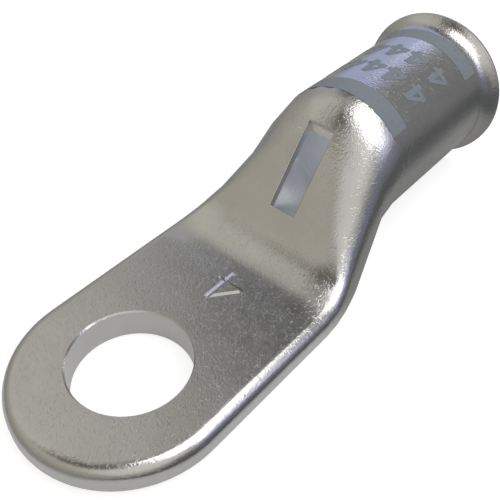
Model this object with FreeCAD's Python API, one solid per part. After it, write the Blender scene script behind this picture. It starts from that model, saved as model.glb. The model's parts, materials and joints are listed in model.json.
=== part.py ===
import FreeCAD, Part
import math
import os

# A one-piece copper cable lug. A length of tube is pressed flat at one end into a palm with
# a stud hole, and stays round at the other end as a barrel with a belled mouth. The sloping
# stretch between them has an inspection window through its upper wall.
# The origin is the centre of the stud hole on the palm's underside. X runs from the palm to
# the barrel's mouth, Y is across the palm and Z is up. Lengths are millimetres, angles degrees.

# Tube of copper, whose density is in kg/mm3
copper_density = 8.96e-6
wall = 0.965
barrel_diameter = 9.34
barrel_axis_height = 5.13
mouth_x = 30.5

# Palm
palm_width = 12.9
palm_end_radius = 6.45
palm_end_centre_x = -0.4
palm_top_edge_radius = 0.78
palm_bottom_edge_radius = 0.68
stud_hole_diameter = 6.9
stud_hole_edge_break = 0.09

# Ramp between palm and barrel, seen from the side
ramp_angle = 50.2
ramp_foot_x = 11.0
ramp_foot_radius = 2.9
shoulder_radius = 2.9
ramp_roof = 0.75
underside_rise_start_x = 11.0
underside_rise_end_x = 18.8

# Sides of the same stretch, seen from above
side_taper_start_x = 10.4
side_taper_end_x = 17.25
side_start_radius = 10.4
side_end_radius = 8.9

# Growth of the section's corners from the palm's edge radii to the round barrel
top_corner_start_x = 10.7
top_corner_end_x = 15.85
top_corner_power = 0.8
bottom_corner_start_x = 12.65
bottom_corner_end_x = 18.5

# Inspection window
window_low_x = 12.9
window_high_x = 16.5
window_width = 1.83
window_edge_break = 0.06

# Belled mouth
bell_diameter = 10.64
bell_angle = 48.0
bell_fillet_radius = 1.6
bell_rim_land = 0.12

# Hollow inside the ramp, which starts where the pressed walls part
least_cavity_height = 0.4
cavity_corner_radius = 0.9
cavity_search_step = 0.01

# Resolution of the lofted skin and of the hollow
lead_length = 1.0
skin_point_count = 48
skin_spacing = 0.6
hollow_point_count = 36
hollow_spacing = 0.85
join_tolerance = 0.002
edge_tolerance = 0.001

# Derived sizes
palm_thickness = 2 * wall
barrel_radius = barrel_diameter / 2
bore_radius = barrel_radius - wall
barrel_top = barrel_axis_height + barrel_radius
barrel_underside = barrel_axis_height - barrel_radius
ramp_slope = math.tan(math.radians(ramp_angle))
shoulder_x = ramp_foot_x + (barrel_top - palm_thickness) / ramp_slope
side_slope = (barrel_radius - palm_width / 2) / (side_taper_end_x - side_taper_start_x)
side_angle = math.atan(abs(side_slope))


def corner_reach(radius, turn):
    """Length of the tangent from a corner to the arc that rounds it."""
    return radius * math.tan(turn / 2)


ramp_start_x = ramp_foot_x - corner_reach(ramp_foot_radius, math.radians(ramp_angle))
shoulder_end_x = shoulder_x + corner_reach(shoulder_radius, math.radians(ramp_angle))
sides_start_x = side_taper_start_x - corner_reach(side_start_radius, side_angle)
sides_end_x = side_taper_end_x + corner_reach(side_end_radius, side_angle)
blend_start_x = min(ramp_start_x, sides_start_x) - lead_length
blend_end_x = max(shoulder_end_x, sides_end_x, bottom_corner_end_x, underside_rise_end_x)


def bent_line(x, corner_x, corner_height, slope_before, slope_after, radius):
    """Height at x of two straight lines whose corner is rounded by a tangent arc."""
    angle_before = math.atan(slope_before)
    angle_after = math.atan(slope_after)
    reach = corner_reach(radius, abs(angle_after - angle_before))
    arc_start_x = corner_x - reach * math.cos(angle_before)
    arc_end_x = corner_x + reach * math.cos(angle_after)
    if x <= arc_start_x:
        return corner_height + slope_before * (x - corner_x)
    if x >= arc_end_x:
        return corner_height + slope_after * (x - corner_x)
    side = 1 if angle_after > angle_before else -1
    arc_start_height = corner_height - reach * math.sin(angle_before)
    centre_x = arc_start_x - side * radius * math.sin(angle_before)
    centre_height = arc_start_height + side * radius * math.cos(angle_before)
    return centre_height - side * math.sqrt(radius ** 2 - (x - centre_x) ** 2)


def ease(x, start, end):
    """Smooth change from 0 at start to 1 at end."""
    share = min(max((x - start) / (end - start), 0.0), 1.0)
    return share * share * (3 - 2 * share)


def top_height(x):
    """Height of the upper wall's crest: palm, ramp and barrel."""
    if x < (ramp_foot_x + shoulder_x) / 2:
        return bent_line(x, ramp_foot_x, palm_thickness, 0, ramp_slope, ramp_foot_radius)
    return bent_line(x, shoulder_x, barrel_top, ramp_slope, 0, shoulder_radius)


def half_width(x):
    """Half of the width seen from above: palm, taper and barrel."""
    if x < (side_taper_start_x + side_taper_end_x) / 2:
        return bent_line(x, side_taper_start_x, palm_width / 2, 0, side_slope, side_start_radius)
    return bent_line(x, side_taper_end_x, barrel_radius, side_slope, 0, side_end_radius)


def underside_height(x):
    return barrel_underside * ease(x, underside_rise_start_x, underside_rise_end_x)


def top_corner_radius(x):
    growth = ease(x, top_corner_start_x, top_corner_end_x) ** top_corner_power
    return palm_top_edge_radius + (barrel_radius - palm_top_edge_radius) * growth


def bottom_corner_radius(x):
    growth = ease(x, bottom_corner_start_x, bottom_corner_end_x)
    return palm_bottom_edge_radius + (barrel_radius - palm_bottom_edge_radius) * growth


def roof_thickness(x):
    """Upward thickness of the upper wall, which is drawn thinner over the ramp."""
    thinned = ease(x, ramp_foot_x, window_low_x) - ease(x, window_high_x, blend_end_x)
    return wall + (ramp_roof - wall) * thinned


def rounded_section(x, width, top, bottom, top_radius, bottom_radius, point_count):
    """Closed smooth wire, across X, of a rectangle with rounded corners.

    Its points share out the outline's length and its turning evenly, so that they gather in
    the corners of the palm and lie evenly round the barrel.
    """
    top_radius = min(top_radius, width)
    bottom_radius = min(bottom_radius, width)
    fit = min(1.0, (top - bottom) / (top_radius + bottom_radius))
    top_radius = top_radius * fit
    bottom_radius = bottom_radius * fit

    lower_flat = width - bottom_radius
    side_flat = top - bottom - top_radius - bottom_radius
    upper_flat = width - top_radius
    quarter_turn = math.pi / 2
    lengths = [lower_flat, bottom_radius * quarter_turn, side_flat, top_radius * quarter_turn, upper_flat]
    turns = [0, quarter_turn, 0, quarter_turn, 0]
    half_length = sum(lengths)
    measures = [length / half_length + turn / math.pi for length, turn in zip(lengths, turns)]

    def point_on_half(share):
        """Point on the half outline from the lower centre (0) to the upper centre (1)."""
        left = share * sum(measures)
        piece = 0
        while piece < 4 and left > measures[piece]:
            left -= measures[piece]
            piece += 1
        along = min(left / measures[piece], 1.0) if measures[piece] > 0 else 0.0
        angle = along * quarter_turn
        if piece == 0:
            return along * lower_flat, bottom
        if piece == 1:
            y = lower_flat + bottom_radius * math.sin(angle)
            return y, bottom + bottom_radius - bottom_radius * math.cos(angle)
        if piece == 2:
            return width, bottom + bottom_radius + along * side_flat
        if piece == 3:
            y = upper_flat + top_radius * math.cos(angle)
            return y, top - top_radius + top_radius * math.sin(angle)
        return upper_flat * (1 - along), top

    half_count = point_count // 2
    points = []
    for index in range(half_count):
        y, z = point_on_half(index / half_count)
        points.append(FreeCAD.Vector(x, y, z))
    for index in range(half_count, 0, -1):
        y, z = point_on_half(index / half_count)
        points.append(FreeCAD.Vector(x, -y, z))
    curve = Part.BSplineCurve()
    parameters = [float(index) for index in range(point_count + 1)]
    curve.interpolate(Points=points, Parameters=parameters, PeriodicFlag=True)
    return Part.Wire([curve.toShape()])


def outer_section(x):
    return rounded_section(x, half_width(x), top_height(x), underside_height(x),
                           top_corner_radius(x), bottom_corner_radius(x), skin_point_count)


def cavity_floor(x):
    return underside_height(x) + wall


def cavity_roof(x):
    return top_height(x) - roof_thickness(x)


def cavity_section(x):
    least_radius = min((cavity_roof(x) - cavity_floor(x)) / 2, cavity_corner_radius)
    return rounded_section(x, half_width(x) - wall, cavity_roof(x), cavity_floor(x),
                           max(top_corner_radius(x) - wall, least_radius),
                           max(bottom_corner_radius(x) - wall, least_radius), hollow_point_count)


def stations(start, end, spacing):
    """Evenly spaced places along X, close to the wanted spacing."""
    count = max(4, math.ceil((end - start) / spacing))
    return [start + (end - start) * index / count for index in range(count + 1)]


def cavity_start_x():
    """First place past the palm where the two walls stand clear of each other."""
    x = ramp_start_x
    while cavity_roof(x) - cavity_floor(x) < least_cavity_height:
        x += cavity_search_step
    return x


def palm_outline():
    """Flat face of the palm: straight sides and a round end about palm_end_centre_x.

    A palm wider than the end's full circle gets two corner arcs with a straight edge between.
    """
    side = palm_width / 2
    arc_side = min(side, palm_end_radius)
    spread = side - arc_side
    reach = math.sqrt(palm_end_radius ** 2 - arc_side ** 2)
    start_angle = math.atan2(arc_side, -reach)
    middle_angle = (start_angle + math.pi) / 2

    def end_point(angle, hand):
        x = palm_end_centre_x + palm_end_radius * math.cos(angle)
        return FreeCAD.Vector(x, hand * (spread + palm_end_radius * math.sin(angle)), 0)

    edges = []
    for hand in (-1, 1):
        corner = end_point(start_angle, hand)
        tip = end_point(math.pi, hand)
        edges.append(line(FreeCAD.Vector(blend_start_x, hand * side, 0), corner))
        edges.append(Part.Arc(corner, end_point(middle_angle, hand), tip).toShape())
    if spread > edge_tolerance:
        edges.append(line(end_point(math.pi, -1), end_point(math.pi, 1)))
    edges.append(line(FreeCAD.Vector(blend_start_x, -side, 0), FreeCAD.Vector(blend_start_x, side, 0)))
    return Part.Face(Part.Wire(Part.__sortEdges__(edges)))


def flat_palm():
    """Palm plate with its round end and its rounded edges."""
    plate = palm_outline().extrude(FreeCAD.Vector(0, 0, palm_thickness))
    plate = plate.makeFillet(palm_top_edge_radius, outline_edges(plate, palm_thickness))
    return plate.makeFillet(palm_bottom_edge_radius, outline_edges(plate, 0))


def outline_edges(plate, height):
    """Edges at one height, apart from the straight one where the palm meets the ramp."""
    found = []
    for edge in plate.Edges:
        box = edge.BoundBox
        level = abs(box.ZMin - height) < edge_tolerance and abs(box.ZMax - height) < edge_tolerance
        at_ramp = box.XMin > blend_start_x - edge_tolerance
        if level and not at_ramp:
            found.append(edge)
    return found


def turned(profile_edges):
    """Solid made by turning a closed profile about the barrel's axis."""
    face = Part.Face(Part.Wire(profile_edges))
    return face.revolve(FreeCAD.Vector(0, 0, barrel_axis_height), FreeCAD.Vector(1, 0, 0), 360)


def axis_point(x, radius):
    return FreeCAD.Vector(x, 0, barrel_axis_height + radius)


def line(start, end):
    return Part.LineSegment(start, end).toShape()


def barrel():
    """Round barrel with its outward bell, solid inside, and where the bell starts."""
    turn = math.radians(bell_angle)
    bell_radius = bell_diameter / 2
    arc_length = bell_fillet_radius * math.sin(turn)
    arc_rise = bell_fillet_radius * (1 - math.cos(turn))
    cone_length = (bell_radius - barrel_radius - arc_rise) / math.tan(turn)
    cone_end_x = mouth_x - bell_rim_land
    bell_start_x = cone_end_x - cone_length - arc_length
    arc_middle = axis_point(bell_start_x + bell_fillet_radius * math.sin(turn / 2),
                            barrel_radius + bell_fillet_radius * (1 - math.cos(turn / 2)))
    cone_start = axis_point(bell_start_x + arc_length, barrel_radius + arc_rise)
    edges = [
        line(axis_point(blend_end_x, 0), axis_point(blend_end_x, barrel_radius)),
        line(axis_point(blend_end_x, barrel_radius), axis_point(bell_start_x, barrel_radius)),
        Part.Arc(axis_point(bell_start_x, barrel_radius), arc_middle, cone_start).toShape(),
        line(cone_start, axis_point(cone_end_x, bell_radius)),
        line(axis_point(cone_end_x, bell_radius), axis_point(mouth_x, bell_radius)),
        line(axis_point(mouth_x, bell_radius), axis_point(mouth_x, 0)),
        line(axis_point(mouth_x, 0), axis_point(blend_end_x, 0)),
    ]
    return turned(edges), bell_start_x


def bore(bell_start_x):
    """Inside of the barrel. It opens out under the bell and runs on past the mouth."""
    turn = math.radians(bell_angle)
    inner_arc_radius = bell_fillet_radius + wall
    arc_middle = axis_point(bell_start_x + inner_arc_radius * math.sin(turn / 2),
                            bore_radius + inner_arc_radius * (1 - math.cos(turn / 2)))
    arc_end_x = bell_start_x + inner_arc_radius * math.sin(turn)
    arc_end_radius = bore_radius + inner_arc_radius * (1 - math.cos(turn))
    past_mouth_x = mouth_x + inner_arc_radius
    past_mouth_radius = arc_end_radius + (past_mouth_x - arc_end_x) * math.tan(turn)
    edges = [
        line(axis_point(blend_end_x, 0), axis_point(blend_end_x, bore_radius)),
        line(axis_point(blend_end_x, bore_radius), axis_point(bell_start_x, bore_radius)),
        Part.Arc(axis_point(bell_start_x, bore_radius), arc_middle,
                 axis_point(arc_end_x, arc_end_radius)).toShape(),
        line(axis_point(arc_end_x, arc_end_radius), axis_point(past_mouth_x, past_mouth_radius)),
        line(axis_point(past_mouth_x, past_mouth_radius), axis_point(past_mouth_x, 0)),
        line(axis_point(past_mouth_x, 0), axis_point(blend_end_x, 0)),
    ]
    return turned(edges)


def stud_hole(plate):
    """The plate with its stud hole, whose upper edge is lightly broken."""
    radius = stud_hole_diameter / 2
    plate = plate.cut(Part.makeCylinder(radius, palm_thickness))
    rim = [edge for edge in plate.Edges if is_circle(edge, radius, palm_thickness)]
    return plate.makeChamfer(stud_hole_edge_break, rim)


def is_circle(edge, radius, height):
    """Whether an edge is the circle of that radius about the stud hole's axis."""
    box = edge.BoundBox
    level = abs(box.ZMin - height) < edge_tolerance and abs(box.ZMax - height) < edge_tolerance
    return level and abs(box.XMax - radius) < edge_tolerance and abs(box.XMin + radius) < edge_tolerance


def window_cutter():
    """Upright prism that opens the ramp's upper wall into the hollow below it."""
    low = (cavity_floor(window_low_x) + cavity_roof(window_low_x)) / 2
    return Part.makeBox(window_high_x - window_low_x, window_width, barrel_top - low,
                        FreeCAD.Vector(window_low_x, -window_width / 2, low))


def window_rim(body):
    """The four edges of the window on the outside of the ramp."""
    found = []
    for edge in body.Edges:
        middle = edge.valueAt((edge.FirstParameter + edge.LastParameter) / 2)
        box = edge.BoundBox
        lengthwise = box.XMin > window_low_x - edge_tolerance and box.XMax < window_high_x + edge_tolerance
        crosswise = abs(middle.y) < window_width / 2 + edge_tolerance
        upright = box.XLength < edge_tolerance and box.YLength < edge_tolerance
        outside = middle.z > (cavity_roof(middle.x) + top_height(middle.x)) / 2
        if lengthwise and crosswise and outside and not upright:
            found.append(edge)
    return found


def lug():
    skin_stations = stations(blend_start_x, blend_end_x, skin_spacing)
    skin = Part.makeLoft([outer_section(x) for x in skin_stations], True)
    barrel_solid, bell_start_x = barrel()
    body = stud_hole(flat_palm()).fuse([skin, barrel_solid], join_tolerance)
    hollow_stations = stations(cavity_start_x(), blend_end_x, hollow_spacing)
    hollow = Part.makeLoft([cavity_section(x) for x in hollow_stations], True, True)
    hollow = hollow.fuse([bore(bell_start_x)], join_tolerance)
    body = body.cut(hollow).cut(window_cutter())
    body = body.makeFillet(window_edge_break, window_rim(body))
    return body.Solids[0]


if __name__ == "__main__":
    os.makedirs("parts", exist_ok=True)
    shape = lug()
    shape.exportStep("parts/lug.step")
    print("lug: volume", round(shape.Volume, 1), "mm3, mass", round(shape.Volume * copper_density * 1000, 2), "g")
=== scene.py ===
import json
import math

import bmesh
import bpy
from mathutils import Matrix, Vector
from mathutils.bvhtree import BVHTree


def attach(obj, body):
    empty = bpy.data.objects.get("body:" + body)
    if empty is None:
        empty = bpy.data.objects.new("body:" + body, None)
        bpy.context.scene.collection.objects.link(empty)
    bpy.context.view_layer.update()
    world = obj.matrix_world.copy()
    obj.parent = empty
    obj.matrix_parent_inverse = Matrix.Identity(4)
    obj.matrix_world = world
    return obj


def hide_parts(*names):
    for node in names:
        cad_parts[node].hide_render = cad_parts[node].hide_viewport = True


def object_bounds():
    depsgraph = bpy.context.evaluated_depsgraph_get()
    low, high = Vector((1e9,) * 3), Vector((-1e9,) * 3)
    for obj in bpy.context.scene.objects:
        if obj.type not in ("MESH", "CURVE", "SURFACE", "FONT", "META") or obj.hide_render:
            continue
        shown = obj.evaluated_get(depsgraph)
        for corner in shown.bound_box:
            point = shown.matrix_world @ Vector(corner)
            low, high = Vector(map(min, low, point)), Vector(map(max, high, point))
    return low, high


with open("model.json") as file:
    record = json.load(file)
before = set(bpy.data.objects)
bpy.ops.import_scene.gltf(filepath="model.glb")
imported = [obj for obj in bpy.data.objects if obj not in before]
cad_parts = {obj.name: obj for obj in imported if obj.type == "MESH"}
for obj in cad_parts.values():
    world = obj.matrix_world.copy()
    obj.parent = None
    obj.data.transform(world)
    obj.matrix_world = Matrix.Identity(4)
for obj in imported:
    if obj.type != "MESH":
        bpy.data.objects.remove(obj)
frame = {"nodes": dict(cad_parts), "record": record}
cad_low, cad_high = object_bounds()

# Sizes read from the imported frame, in metres
mounts = {mount["name"]: mount for mount in frame["record"]["mounts"]}
palm_top = mounts["palm_upper_face"]["pos_m"][2]
barrel_axis_z = mounts["barrel_bore"]["pos_m"][2]
bore_radius = mounts["barrel_bore"]["dims"]["r_mm"] / 1000
wall = palm_top / 2
barrel_radius = bore_radius + wall

# Numeral stamped in the palm: it reads along +Y and its head points back to the stud hole
stamp_head_x = 0.0062
stamp_foot_x = 0.00835
stamp_stem_y = 0.00006
stamp_bar_x = 0.00772
stamp_bar_left_y = -0.00106
stamp_bar_right_y = 0.00041
stamp_slope_head = (0.00611, -0.00005)
stamp_slope_foot = (0.00748, -0.00115)
stamp_floor_half = 0.00006
stamp_depth = 0.00013
stamp_rise = 0.00005

# Lean of the strokes' long walls, and the depths between which a face belongs to a groove
stroke_lean = 1.0
bar_lean = 0.15
groove_face_depths = (0.01 * stamp_depth, 1.05 * stamp_depth)

# Gloss of the plating outside and inside, how far it varies, and its patches to a millimetre
outer_roughness = 0.19
inner_roughness = 0.4
gloss_change = 0.04
gloss_scale = 1.3
tone_scale = 0.4
patch_edge = (0.3, 0.7)

# Texture of the plating: marks to a millimetre, noise levels at a mark's edge, heights in metres
wave_scale = 0.4
wave_height = 0.000006
peel_scale = 7.5
peel_height = 0.000005
worm_scale = 4.2
worm_edge = (0.55, 0.68)
worm_height = 0.0000028
pit_scale = 3.1
pit_edge = (0.6, 0.68)
pit_height = 0.0000036

# Two families of scratches: turn in radians, stretch, lines to a millimetre and width
scratch_families = [(0.35, 14.0, 5.0, 0.012), (-1.1, 18.0, 4.0, 0.01)]
scratch_patch_share = 0.35
scratch_patch_edge = (0.52, 0.62)
scratch_height = 0.000001

# Change of the peel and the worm marks along the lug: from and to X in millimetres, and shares there
peel_change = (13.0, 17.0, 1.0, 3.0)
worm_change = (10.0, 15.0, 1.0, 0.5)

# Shading of the lug's mesh: points this close are one, and edges sharper than this stay sharp
weld_step = 0.000001
sharp_angle = math.radians(32)

# How far in from its corner, towards its middle, a face looks for the face that it came from
corner_inset = 0.02

# Search for the hollow's faces: start of a ray off its face, and how many rays meet the lug again
ray_lift = 0.00001
least_met = 3

# The window's walls: they lie this near the middle plane, and their normals are this near level
window_half_width = 0.00093
level_normal = 0.05

# Ink on the barrel. Angles are measured round the barrel from straight up towards +Y
ink_height = 0.000012
ink_root = -0.00002
ink_roughness = 0.6
ink_specular = 0.25
ink_speck_scale = 4.0
ink_speck_edge = (0.55, 0.75)
ink_grain_scale = 3.2
ink_grain_height = 0.000003
near_band = (0.01876, 0.02025)
far_band = (0.0276, 0.029)
band_angles = (math.radians(-51.5), math.radians(118))
numeral_height = 0.00178
numeral_rows = (0.02343, 0.02618)
numeral_angles = [math.radians(angle) for angle in (-36, -13, 5.5, 24, 42.5, 61)]
wrap_step = 0.0002

# Plain bold 4, in units of its height: sides of the stem and the bar, and the slope's inner edge
numeral_width = 0.76
numeral_stem = (0.4, 0.62)
numeral_bar = (0.18, 0.37)
numeral_slope_foot = 0.19
numeral_slope_root = 0.7

# Camera, from a fit to the photograph's outlines
camera_azimuth = math.radians(-49.294)
camera_elevation = math.radians(43.418)
camera_distance = 0.04618
camera_target = Vector((0.01223, 0.00203, 0.0))
camera_lens = 50.06
camera_sensor = 36.0
camera_near = 0.001


def rgb(red, green, blue):
    return (red, green, blue, 1.0)


# Tin and ink, each with the colour that it is mottled with
tin_colours = (rgb(0.575, 0.57, 0.56), rgb(0.605, 0.6, 0.592))
ink_colours = (rgb(0.235, 0.265, 0.3), rgb(0.2, 0.22, 0.25))

# Studio walls, neutral and warm, each at the floor and high up
neutral_walls = (rgb(0.39, 0.385, 0.365), rgb(0.485, 0.48, 0.468))
warm_walls = (rgb(0.4, 0.38, 0.32), rgb(0.56, 0.535, 0.46))
wall_rise = (0.0, 0.7)
warm_side = (160, 10)
warm_reach = (-0.4, 0.8)

# Patches on the walls: azimuth, elevation, inner and outer angle, and colour
wall_patches = [
    (-125, 50, 12, 42, rgb(0.83, 0.82, 0.78)),
    (110, 80, 8, 26, rgb(0.28, 0.275, 0.25)),
    (155, 70, 6, 27, rgb(0.12, 0.115, 0.09)),
    (95, 50, 14, 28, rgb(0.66, 0.64, 0.57)),
    (24, 44, 8, 23, rgb(0.12, 0.119, 0.113)),
    (-15, 35, 8, 22, rgb(0.24, 0.24, 0.245)),
    (-34, 10, 14, 32, rgb(0.23, 0.23, 0.235)),
    (-88, -2, 10, 26, rgb(0.17, 0.17, 0.165)),
    (-68, 4, 6, 20, rgb(0.22, 0.23, 0.31)),
    (-64, 30, 4, 15, rgb(0.85, 0.88, 1.2)),
    (32, 18, 11, 26, rgb(0.5, 0.56, 0.79)),
    (17, 26, 4, 14, rgb(0.95, 1.02, 1.4)),
    (2, 6, 8, 20, rgb(0.8, 0.8, 0.85)),
]

# Lamps. The overhead boxes' X and Y ranges are in units of their height above the floor
overhead_height = 0.35
overhead_boxes = [((-0.08, 0.58), (-0.85, 0.03)), ((0.3, 0.61), (-1.4, -0.85))]
overhead_radiance = 2.4

# Dim lamps in the hollow: place, size along the lug and across it, turn about Y in degrees, radiance
hollow_lamps = [
    ((0.0158, 0.0, 0.0034), (0.0064, 0.0084), 0, (0.3, 0.32, 0.365)),
    ((0.0161, 0.0, 0.0073), (0.0014, 0.003), -90, (0.33, 0.325, 0.3)),
    ((0.0225, 0.0, barrel_axis_z), (0.0064, 0.0064), 90, (0.34, 0.365, 0.42)),
]

# Dark card on the floor beside the lug's right side, for its reflections only
flag_x = (-0.03, 0.2)
flag_y = (-0.15, -0.0074)
flag_lift = 0.0003
flag_colour = rgb(0.125, 0.13, 0.131)

# The card fades in from its near edge to this far out, which grows between two places along X
flag_fade_out = (0.0095, 0.0145)
flag_fade_x = (0.01, 0.022)

# Floor: half its width, its own grey, and what it adds for the camera and for mirror rays
floor_half = 2.0
floor_grey = 0.42
floor_camera_glow = 0.78
floor_mirror_glow = 0.3

# Pool of that mirror glow under the palm: middle, half its size, and how it fades out
glow_middle = (0.0008, 0.0, 0.0)
glow_half = (0.0083, 0.007, 1.0)
glow_reach = (0.0, 0.005)


class Graph:
    """Adds shader nodes to one tree and links them."""

    def __init__(self, tree):
        self.tree = tree
        tree.nodes.clear()

    def node(self, kind, inputs=None, **settings):
        made = self.tree.nodes.new(kind)
        for name, value in settings.items():
            setattr(made, name, value)
        for name, value in (inputs or {}).items():
            self.feed(made.inputs[name], value)
        return made

    def feed(self, socket, value):
        if isinstance(value, bpy.types.NodeSocket):
            self.tree.links.new(value, socket)
        else:
            socket.default_value = value

    def show(self, shader, output="ShaderNodeOutputMaterial"):
        """Links a shader to the tree's output."""
        self.node(output, {"Surface": shader.outputs[0]})

    def place(self):
        """Place on the object, in metres."""
        return self.node("ShaderNodeTexCoord").outputs["Object"]

    def place_in_millimetres(self):
        return self.vector_math("MULTIPLY", self.place(), (1000.0, 1000.0, 1000.0)).outputs[0]

    def math(self, operation, first, second=0.0):
        return self.node("ShaderNodeMath", {0: first, 1: second}, operation=operation).outputs[0]

    def vector_math(self, operation, first, second=(0.0, 0.0, 0.0)):
        return self.node("ShaderNodeVectorMath", {0: first, 1: second}, operation=operation)

    def smooth(self, value, low, high, start=0.0, end=1.0):
        inputs = {"Value": value, "From Min": low, "From Max": high, "To Min": start, "To Max": end}
        return self.node("ShaderNodeMapRange", inputs, interpolation_type="SMOOTHSTEP").outputs[0]

    def mix(self, factor, first, second):
        made = self.node("ShaderNodeMix", data_type="RGBA")
        for socket in made.inputs:
            if socket.identifier == "Factor_Float":
                self.feed(socket, factor)
            elif socket.identifier == "A_Color":
                self.feed(socket, first)
            elif socket.identifier == "B_Color":
                self.feed(socket, second)
        return next(socket for socket in made.outputs if socket.identifier == "Result_Color")

    def noise(self, place, scale, detail=2.0, roughness=0.5, distortion=0.0):
        inputs = {"Vector": place, "Scale": scale, "Detail": detail, "Roughness": roughness,
                  "Distortion": distortion}
        return self.node("ShaderNodeTexNoise", inputs).outputs[0]

    def bump(self, height, distance, normal=None):
        inputs = {"Height": height, "Distance": distance, "Strength": 1.0}
        if normal is not None:
            inputs["Normal"] = normal
        return self.node("ShaderNodeBump", inputs).outputs[0]


def add_object(name, mesh):
    made = bpy.data.objects.new(name, mesh)
    bpy.context.scene.collection.objects.link(made)
    return made


def new_material(name):
    material = bpy.data.materials.new(name)
    material.use_nodes = True
    return material, Graph(material.node_tree)


def direction(azimuth, elevation):
    """Unit vector at an azimuth from +X towards +Y and an elevation, both in degrees."""
    turn = math.radians(azimuth)
    rise = math.radians(elevation)
    return Vector((math.cos(rise) * math.cos(turn), math.cos(rise) * math.sin(turn), math.sin(rise)))


def scratches(graph, place, turn, stretch, scale, width):
    """Thin broken lines along one direction: the level lines of a stretched noise."""
    turned = graph.node("ShaderNodeMapping", {"Vector": place, "Rotation": (0.0, 0.0, turn),
                                              "Scale": (scale / stretch, scale, scale)}).outputs[0]
    wave = graph.noise(turned, 1.0, 1.0)
    off_line = graph.math("ABSOLUTE", graph.math("SUBTRACT", wave, 0.5))
    line = graph.smooth(off_line, 0.0, width, 1.0, 0.0)
    patches = graph.smooth(graph.noise(place, scale * scratch_patch_share, 1.0), *scratch_patch_edge)
    return graph.math("MULTIPLY", line, patches)


def tin_plate(name, least_roughness):
    """Satin tin plating: fine peel, worm marks, pits, soft waves, scratches and uneven gloss."""
    material, graph = new_material(name)
    place = graph.place_in_millimetres()
    waves = graph.noise(place, wave_scale, 1.0)
    peel = graph.noise(place, peel_scale, 1.5, 0.5, 0.6)
    worms = graph.smooth(graph.noise(place, worm_scale, 1.5, 0.5, 1.2), *worm_edge)
    pits = graph.smooth(graph.noise(place, pit_scale, 1.0, 0.5, 0.8), *pit_edge)
    along_lug = graph.node("ShaderNodeSeparateXYZ", {0: place}).outputs["X"]
    worms = graph.math("MULTIPLY", worms, graph.smooth(along_lug, *worm_change))
    peel = graph.math("MULTIPLY", peel, graph.smooth(along_lug, *peel_change))
    lines = [scratches(graph, place, *family) for family in scratch_families]
    lines = graph.math("MAXIMUM", *lines)

    normal = graph.bump(waves, wave_height)
    normal = graph.bump(peel, peel_height, normal)
    normal = graph.bump(worms, worm_height, normal)
    normal = graph.bump(graph.math("MULTIPLY", pits, -1.0), pit_height, normal)
    normal = graph.bump(graph.math("MULTIPLY", lines, -1.0), scratch_height, normal)

    tone = graph.smooth(graph.noise(place, tone_scale, 3.0), *patch_edge)
    colour = graph.mix(tone, *tin_colours)
    roughness = graph.smooth(graph.noise(place, gloss_scale, 3.0), *patch_edge, least_roughness,
                             least_roughness + gloss_change)
    graph.show(graph.node("ShaderNodeBsdfPrincipled", {"Base Color": colour, "Metallic": 1.0,
                                                       "Roughness": roughness, "Normal": normal}))
    return material


def ink():
    """Matte blue-grey marking ink, with darker specks and a fine grain of its own."""
    material, graph = new_material("marking_ink")
    place = graph.place_in_millimetres()
    specks = graph.smooth(graph.noise(place, ink_speck_scale, 3.0), *ink_speck_edge)
    colour = graph.mix(specks, *ink_colours)
    normal = graph.bump(graph.noise(place, ink_grain_scale, 3.0, 0.55), ink_grain_height)
    graph.show(graph.node("ShaderNodeBsdfPrincipled", {"Base Color": colour, "Roughness": ink_roughness,
                                                       "Specular IOR Level": ink_specular,
                                                       "Normal": normal}))
    return material


def groove_cutter(start, end, lean):
    """Trough with a flat floor that cuts one stroke of the stamped numeral.

    Its ends slope at 45 degrees, and its long walls lean outwards by lean for each unit of height.
    """
    along = (end - start).normalized()
    aside = Vector((-along.y, along.x, 0))
    bm = bmesh.new()
    rings = []
    for height in (-stamp_depth, stamp_rise):
        reach = stamp_floor_half + stamp_depth + height
        breadth = stamp_floor_half + (stamp_depth + height) * lean
        ring = []
        for point, forward, side in ((start, -1, -1), (end, 1, -1), (end, 1, 1), (start, -1, 1)):
            place = point + along * forward * reach + aside * side * breadth
            ring.append(bm.verts.new(place + Vector((0, 0, height))))
        rings.append(ring)
    low, high = rings
    bm.faces.new(low)
    bm.faces.new(high)
    for index in range(4):
        after = (index + 1) % 4
        bm.faces.new((low[index], low[after], high[after], high[index]))
    bmesh.ops.recalc_face_normals(bm, faces=bm.faces)
    mesh = bpy.data.meshes.new("stroke")
    bm.to_mesh(mesh)
    bm.free()
    return add_object("stroke", mesh)


def stamp_strokes():
    """The three strokes of a plain 4: stem, bar and slope, each with the lean of its long walls."""
    stem_head = Vector((stamp_head_x, stamp_stem_y, palm_top))
    stem_foot = Vector((stamp_foot_x, stamp_stem_y, palm_top))
    bar_left = Vector((stamp_bar_x, stamp_bar_left_y, palm_top))
    bar_right = Vector((stamp_bar_x, stamp_bar_right_y, palm_top))
    slope_head = Vector((*stamp_slope_head, palm_top))
    slope_foot = Vector((*stamp_slope_foot, palm_top))
    return [(stem_head, stem_foot, stroke_lean), (bar_left, bar_right, bar_lean),
            (slope_head, slope_foot, stroke_lean)]


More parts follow.
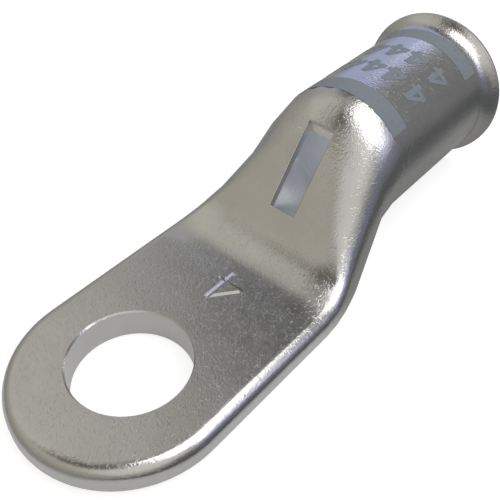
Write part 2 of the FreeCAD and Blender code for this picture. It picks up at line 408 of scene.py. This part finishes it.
def smooth_like(target, source, sharp_faces, hollow):
    """Gives target the source's smooth normals, apart from the faces that a stamp cut.

    The hollow's own facets are smoothed into one another.
    """
    source_mesh = source.data
    source_mesh.calc_loop_triangles()
    points = [vertex.co.copy() for vertex in source_mesh.vertices]
    triangles = [tuple(triangle.vertices) for triangle in source_mesh.loop_triangles]
    loops = [tuple(triangle.loops) for triangle in source_mesh.loop_triangles]
    tree = BVHTree.FromPolygons(points, triangles)
    corner_normals = [Vector(corner.vector) for corner in source_mesh.corner_normals]
    normals = []
    mesh = target.data
    for polygon in mesh.polygons:
        for loop_index in polygon.loop_indices:
            if polygon.index in sharp_faces:
                normals.append(polygon.normal.copy())
                continue
            corner = mesh.vertices[mesh.loops[loop_index].vertex_index].co
            inward = corner.lerp(polygon.center, corner_inset)
            place, _, index, _ = tree.find_nearest(inward)
            weights = barycentric(corner, [points[vertex] for vertex in triangles[index]])
            blended = Vector((0, 0, 0))
            for weight, loop in zip(weights, loops[index]):
                blended += corner_normals[loop] * weight
            normals.append(blended.normalized())
    for polygon in mesh.polygons:
        polygon.use_smooth = True
    mesh.normals_split_custom_set(weld_normals(mesh, normals, hollow))


def barycentric(point, triangle):
    """Shares of a triangle's corners at a point, kept within the triangle."""
    a, b, c = triangle
    edge_one = b - a
    edge_two = c - a
    offset = point - a
    d11 = edge_one.dot(edge_one)
    d12 = edge_one.dot(edge_two)
    d22 = edge_two.dot(edge_two)
    area = d11 * d22 - d12 * d12
    if area <= 0:
        return (1.0, 0.0, 0.0)
    second = (d22 * offset.dot(edge_one) - d12 * offset.dot(edge_two)) / area
    third = (d11 * offset.dot(edge_two) - d12 * offset.dot(edge_one)) / area
    shares = [max(1 - second - third, 0.0), max(second, 0.0), max(third, 0.0)]
    return [share / sum(shares) for share in shares]


def weld_normals(mesh, normals, faces):
    """Averages the normals that meet at a point of the given faces, but not across a sharp edge."""
    places = {}
    meeting = {}
    for polygon in mesh.polygons:
        if polygon.index in faces:
            for loop in polygon.loop_indices:
                corner = mesh.vertices[mesh.loops[loop].vertex_index].co
                places[loop] = tuple(round(value / weld_step) for value in corner)
                meeting.setdefault(places[loop], []).append(normals[loop])
    least = math.cos(sharp_angle)
    welded = list(normals)
    for loop, place in places.items():
        alike = [other for other in meeting[place] if other.dot(normals[loop]) > least]
        welded[loop] = sum(alike, Vector((0, 0, 0))).normalized()
    return welded


def inside_faces(mesh):
    """Faces of the hollow: most rays from them, along and about their normal, meet the lug again."""
    mesh.calc_loop_triangles()
    points = [vertex.co.copy() for vertex in mesh.vertices]
    tree = BVHTree.FromPolygons(points, [tuple(triangle.vertices) for triangle in mesh.loop_triangles])
    found = set()
    for polygon in mesh.polygons:
        window_wall = abs(polygon.center.y) < window_half_width and abs(polygon.normal.z) < level_normal
        if polygon.center.x < stamp_foot_x or window_wall:
            continue
        normal = polygon.normal
        aside = normal.orthogonal().normalized()
        other = normal.cross(aside)
        start = polygon.center + normal * ray_lift
        aims = [normal, normal + aside, normal - aside, normal + other, normal - other]
        met = [aim for aim in aims if tree.ray_cast(start, aim.normalized())[0] is not None]
        if len(met) >= least_met:
            found.add(polygon.index)
    return found


def groove_faces(mesh):
    """Faces that the stamp cut: below the palm's upper face, round the numeral."""
    shallow, deep = groove_face_depths
    found = set()
    for polygon in mesh.polygons:
        x, y, z = polygon.center
        near_stamp = stamp_head_x - wall < x < stamp_foot_x + wall and abs(y) < palm_top
        if near_stamp and palm_top - deep < z < palm_top - shallow:
            found.add(polygon.index)
    return found


def stamped_lug(cad_lug, plate, bore_plate):
    """Copy of the lug's solid with the numeral pressed into its palm."""
    body = add_object("tin_plated_lug", cad_lug.data.copy())
    cutters = [groove_cutter(*stroke) for stroke in stamp_strokes()]
    for cutter in cutters:
        modifier = body.modifiers.new("stroke", "BOOLEAN")
        modifier.operation = "DIFFERENCE"
        modifier.solver = "EXACT"
        modifier.object = cutter
    bpy.context.view_layer.update()
    evaluated = body.evaluated_get(bpy.context.evaluated_depsgraph_get())
    cut_mesh = bpy.data.meshes.new_from_object(evaluated)
    body.modifiers.clear()
    body.data = cut_mesh
    for cutter in cutters:
        bpy.data.objects.remove(cutter)
    hollow = inside_faces(body.data)
    smooth_like(body, cad_lug, groove_faces(body.data), hollow)
    body.data.materials.clear()
    body.data.materials.append(plate)
    body.data.materials.append(bore_plate)
    for polygon in body.data.polygons:
        polygon.material_index = 1 if polygon.index in hollow else 0
    return body


def wrap_on_barrel(bm, x_start, angle_start):
    """Bends a flat mesh round the barrel: X goes round it, Y back towards the palm, Z outwards."""
    lowest = min(vertex.co.x for vertex in bm.verts)
    highest = max(vertex.co.x for vertex in bm.verts)
    place = lowest + wrap_step
    while place < highest:
        parts = list(bm.verts) + list(bm.edges) + list(bm.faces)
        bmesh.ops.bisect_plane(bm, geom=parts, plane_co=(place, 0, 0), plane_no=(1, 0, 0))
        place += wrap_step
    for vertex in bm.verts:
        angle = angle_start + vertex.co.x / barrel_radius
        reach = barrel_radius + vertex.co.z
        vertex.co = Vector((x_start - vertex.co.y, reach * math.sin(angle),
                            barrel_axis_z + reach * math.cos(angle)))


def ink_band(bm_all, x_range, angles):
    """A plain band of ink laid round the barrel."""
    bm = bmesh.new()
    bmesh.ops.create_cube(bm, size=1.0)
    width = (angles[1] - angles[0]) * barrel_radius
    height = x_range[1] - x_range[0]
    for vertex in bm.verts:
        vertex.co.x = (vertex.co.x + 0.5) * width
        vertex.co.y = (vertex.co.y + 0.5) * height
        vertex.co.z = ink_height if vertex.co.z > 0 else ink_root
    wrap_on_barrel(bm, x_range[1], angles[0])
    join(bm_all, bm)


def numeral_parts():
    """The flat pieces of the 4: the slope, the stem and the two ends of the bar."""
    left, right = numeral_stem
    low, high = numeral_bar
    slope = [(0.0, high), (numeral_slope_foot, high), (left, numeral_slope_root), (left, 1.0)]
    stem = [(left, 0.0), (right, 0.0), (right, low), (right, high), (right, 1.0), (left, 1.0),
            (left, numeral_slope_root), (left, high), (left, low)]
    long_end = [(0.0, low), (left, low), (left, high), (numeral_slope_foot, high), (0.0, high)]
    short_end = [(right, low), (numeral_width, low), (numeral_width, high), (right, high)]
    return [slope, stem, long_end, short_end]


def numeral(bm_all, x_foot, angle):
    """A plain 4 laid round the barrel, with its middle at the given angle."""
    bm = bmesh.new()
    middle = numeral_width / 2
    for part in numeral_parts():
        corners = [((x - middle) * numeral_height, y * numeral_height, ink_height) for x, y in part]
        bm.faces.new([bm.verts.new(corner) for corner in corners])
    bmesh.ops.remove_doubles(bm, verts=bm.verts, dist=weld_step)
    shell = bmesh.ops.extrude_face_region(bm, geom=list(bm.faces))
    for item in shell["geom"]:
        if isinstance(item, bmesh.types.BMVert):
            item.co.z = ink_root
    bmesh.ops.recalc_face_normals(bm, faces=bm.faces)
    wrap_on_barrel(bm, x_foot, angle)
    join(bm_all, bm)


def join(bm_all, bm):
    """Adds one mesh under construction to another and frees it."""
    mesh = bpy.data.meshes.new("part")
    bm.to_mesh(mesh)
    bm.free()
    bm_all.from_mesh(mesh)
    bpy.data.meshes.remove(mesh)


def printed_marks(material):
    """Two bands and two rows of plain numerals printed round the top of the barrel."""
    bm = bmesh.new()
    for x_range in (near_band, far_band):
        ink_band(bm, x_range, band_angles)
    for x_foot in numeral_rows:
        for angle in numeral_angles:
            numeral(bm, x_foot, angle)
    bmesh.ops.recalc_face_normals(bm, faces=bm.faces)
    mesh = bpy.data.meshes.new("printed_marks")
    bm.to_mesh(mesh)
    bm.free()
    mesh.materials.append(material)
    return add_object("printed_marks", mesh)


def floor():
    """Plain pale floor, white to the camera. It keeps the shadow, and is clear from below."""
    mesh = bpy.data.meshes.new("floor")
    corners = [(x * floor_half, y * floor_half, 0) for x, y in ((-1, -1), (1, -1), (1, 1), (-1, 1))]
    mesh.from_pydata(corners, [], [(0, 1, 2, 3)])
    made = add_object("floor", mesh)
    made.location.z = cad_low.z
    material, graph = new_material("pale_floor")
    path = graph.node("ShaderNodeLightPath").outputs
    diffuse = graph.node("ShaderNodeBsdfDiffuse", {"Color": rgb(floor_grey, floor_grey, floor_grey)})
    shown = graph.math("MULTIPLY", path["Is Camera Ray"], floor_camera_glow)
    mirrored = graph.math("MAXIMUM", path["Is Glossy Ray"], path["Is Transmission Ray"])
    offset = graph.vector_math("SUBTRACT", graph.place(), glow_middle).outputs[0]
    offset = graph.vector_math("ABSOLUTE", offset)
    beyond = graph.vector_math("SUBTRACT", offset.outputs[0], glow_half).outputs[0]
    beyond = graph.vector_math("MAXIMUM", beyond, (0.0, 0.0, 0.0)).outputs[0]
    distance = graph.vector_math("LENGTH", beyond).outputs["Value"]
    pool = graph.smooth(distance, *glow_reach, floor_mirror_glow, 0.0)
    strength = graph.math("ADD", shown, graph.math("MULTIPLY", mirrored, pool))
    glow = graph.node("ShaderNodeEmission", {"Color": rgb(1, 1, 1), "Strength": strength})
    both = graph.node("ShaderNodeAddShader", {0: diffuse.outputs[0], 1: glow.outputs[0]})
    back = graph.node("ShaderNodeNewGeometry").outputs["Backfacing"]
    clear = graph.node("ShaderNodeBsdfTransparent")
    graph.show(graph.node("ShaderNodeMixShader", {0: back, 1: both.outputs[0], 2: clear.outputs[0]}))
    mesh.materials.append(material)


def studio_walls():
    """World light: grey walls with a few large soft patches by direction, white to the camera."""
    world = bpy.data.worlds.new("studio")
    world.use_nodes = True
    bpy.context.scene.world = world
    graph = Graph(world.node_tree)
    toward = graph.node("ShaderNodeTexCoord").outputs["Generated"]
    height = graph.node("ShaderNodeSeparateXYZ", {0: toward}).outputs["Z"]
    rise = graph.smooth(height, *wall_rise)
    warm = graph.vector_math("DOT_PRODUCT", toward, tuple(direction(*warm_side))).outputs["Value"]
    colour = graph.mix(graph.smooth(warm, *warm_reach), graph.mix(rise, *neutral_walls),
                       graph.mix(rise, *warm_walls))
    for azimuth, elevation, inner, outer, patch_colour in wall_patches:
        aim = direction(azimuth, elevation)
        near = graph.vector_math("DOT_PRODUCT", toward, tuple(aim)).outputs["Value"]
        share = graph.smooth(near, math.cos(math.radians(outer)), math.cos(math.radians(inner)))
        colour = graph.mix(share, colour, patch_colour)
    shown = graph.node("ShaderNodeLightPath").outputs["Is Camera Ray"]
    colour = graph.mix(shown, colour, rgb(1, 1, 1))
    background = graph.node("ShaderNodeBackground", {"Color": colour, "Strength": 1.0})
    graph.show(background, "ShaderNodeOutputWorld")


def softbox(name, place, size, radiance):
    """Area lamp of one radiance that shines straight down from the given place."""
    lamp = bpy.data.lights.new(name, "AREA")
    lamp.shape = "RECTANGLE"
    lamp.size, lamp.size_y = size
    lamp.energy = radiance * math.pi * lamp.size * lamp.size_y
    made = bpy.data.objects.new(name, lamp)
    bpy.context.scene.collection.objects.link(made)
    made.location = place
    return made


def studio_lamps():
    """Softboxes overhead, side by side, and dim lamps in the hollow that the window lets one see."""
    for (low_x, high_x), (low_y, high_y) in overhead_boxes:
        middle = Vector((low_x + high_x, low_y + high_y, 2.0)) * overhead_height / 2
        size = ((high_x - low_x) * overhead_height, (high_y - low_y) * overhead_height)
        softbox("overhead_softbox", middle, size, overhead_radiance)
    for place, size, turn, radiance in hollow_lamps:
        made = softbox("hollow_lamp", place, size, 1.0)
        made.data.color = radiance
        made.rotation_euler = (0, math.radians(turn), 0)
        made.visible_camera = False


def dark_flag():
    """Low dark card beside the lug that only its reflections show."""
    mesh = bpy.data.meshes.new("dark_flag")
    height = cad_low.z + flag_lift
    corners = [(flag_x[right], flag_y[near], height) for right, near in ((0, 0), (1, 0), (1, 1), (0, 1))]
    mesh.from_pydata(corners, [], [range(len(corners))])
    made = add_object("dark_flag", mesh)
    for ray in ("camera", "diffuse", "transmission", "volume_scatter", "shadow"):
        setattr(made, "visible_" + ray, False)
    material, graph = new_material("dark_flag")
    parts = graph.node("ShaderNodeSeparateXYZ", {0: graph.place()}).outputs
    beside = graph.math("MULTIPLY", parts["Y"], -1.0)
    faded = graph.smooth(parts["X"], *flag_fade_x, *flag_fade_out)
    share = graph.smooth(beside, -flag_y[1], faded)
    clear = graph.node("ShaderNodeBsdfTransparent")
    glow = graph.node("ShaderNodeEmission", {"Color": flag_colour, "Strength": 1.0})
    graph.show(graph.node("ShaderNodeMixShader", {0: share, 1: clear.outputs[0], 2: glow.outputs[0]}))
    mesh.materials.append(material)


def camera():
    """Camera at the photograph's viewing angle."""
    data = bpy.data.cameras.new("camera")
    data.lens = camera_lens
    data.sensor_width = camera_sensor
    data.clip_start = camera_near
    made = bpy.data.objects.new("camera", data)
    bpy.context.scene.collection.objects.link(made)
    away = Vector((math.sin(camera_azimuth) * math.cos(camera_elevation),
                   -math.cos(camera_azimuth) * math.cos(camera_elevation),
                   math.sin(camera_elevation)))
    made.location = camera_target + away * camera_distance
    made.rotation_euler = away.to_track_quat("Z", "Y").to_euler()
    bpy.context.scene.camera = made


lug = stamped_lug(frame["nodes"]["lug"], tin_plate("tin_plate", outer_roughness),
                  tin_plate("tin_plate_in_bore", inner_roughness))
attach(lug, "root")
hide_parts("lug")

marks = printed_marks(ink())
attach(marks, "root")

floor()
studio_walls()
studio_lamps()
dark_flag()
camera()
bpy.context.scene.view_settings.view_transform = "Standard"
